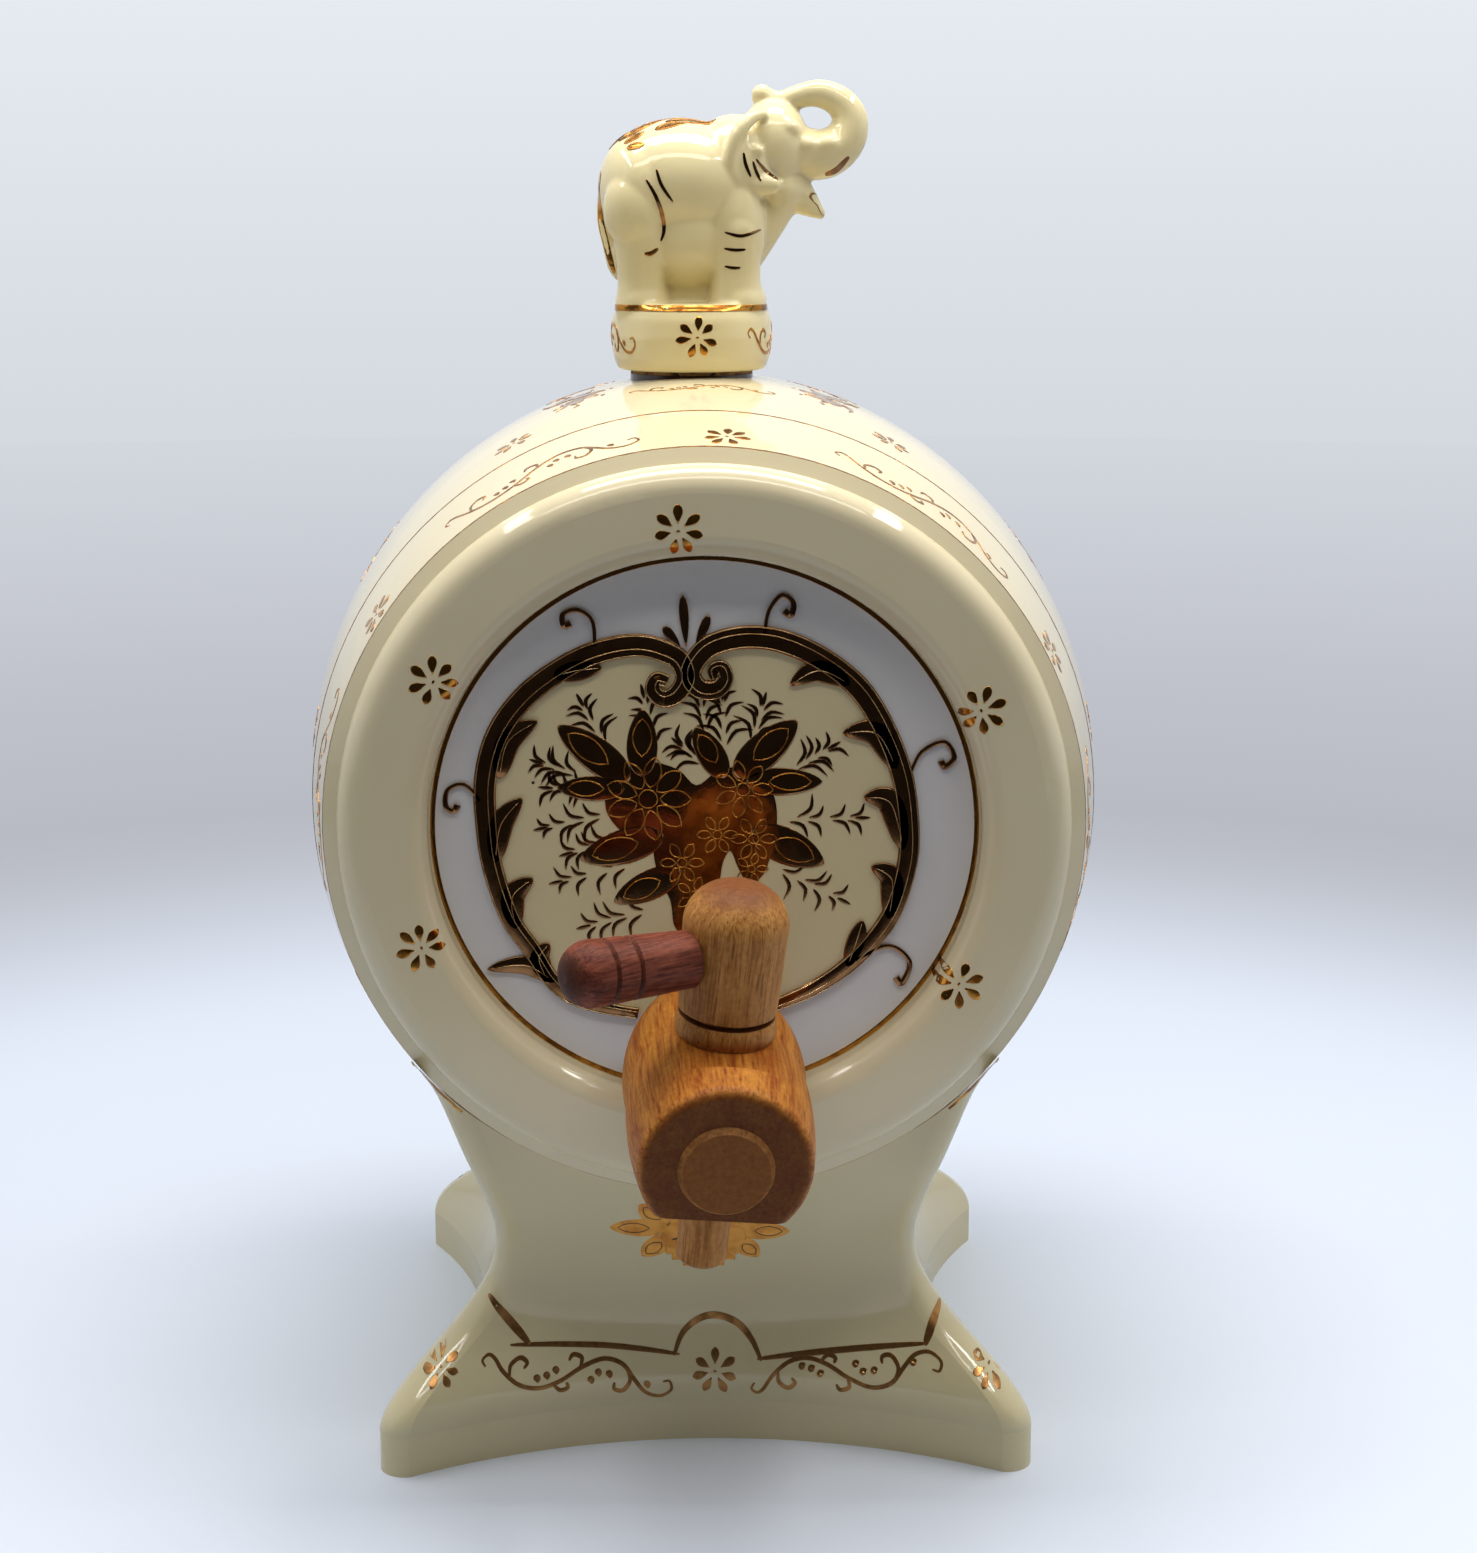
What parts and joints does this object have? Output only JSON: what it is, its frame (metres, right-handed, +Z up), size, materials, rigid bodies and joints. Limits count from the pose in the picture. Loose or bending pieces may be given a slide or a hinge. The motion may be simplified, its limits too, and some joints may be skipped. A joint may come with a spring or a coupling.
{
  "type": "figural liquor decanter",
  "caption": "Porcelain barrel decanter lying in a cradle stand, with an elephant stopper in its bung and a turned wooden tap in its head.",
  "frame": {"origin": "on the table, under the middle of the stand", "axes": "+Z up, the barrel lies along Y with its tapped head towards -Y, the elephant faces +X"},
  "size_m": [0.156, 0.2018, 0.2659],
  "materials": {
    "porcelain": "glossy ivory glaze with gold lustre decoration",
    "cork": "cork, dry",
    "tap_wood": "turned hardwood, oiled, orange brown",
    "plug_wood": "turned beech, pale",
    "handle_wood": "turned hardwood stained dark red brown"
  },
  "bodies": {
    "stand": {"stand": "porcelain"},
    "barrel": {"barrel": "porcelain", "tap_bush": "cork"},
    "stopper": {"stopper_elephant": "porcelain", "stopper_cork": "cork"},
    "tap": {"tap_body": "tap_wood", "tap_end_plug": "plug_wood", "key_sleeve": "cork"},
    "key": {"tap_key": "plug_wood", "key_handle": "handle_wood"}
  },
  "joints": [
    {"name": "barrel_lift", "type": "slide", "parent": "stand", "child": "barrel", "axis": [0, 0, 1], "range_m": [0, 0.09]},
    {"name": "stopper_lift", "type": "slide", "parent": "barrel", "child": "stopper", "axis": [0, 0, 1], "range_m": [0, 0.055]},
    {"name": "tap_pull", "type": "slide", "parent": "barrel", "child": "tap", "axis": [0.0518, -0.9889, -0.1392], "range_m": [0, 0.045]},
    {"name": "key_turn", "type": "hinge", "parent": "tap", "child": "key", "pos_m": [0.00171, -0.10063, 0.08891], "axis": [0.0943, -0.1339, 0.9865], "continuous": true}
  ]
}
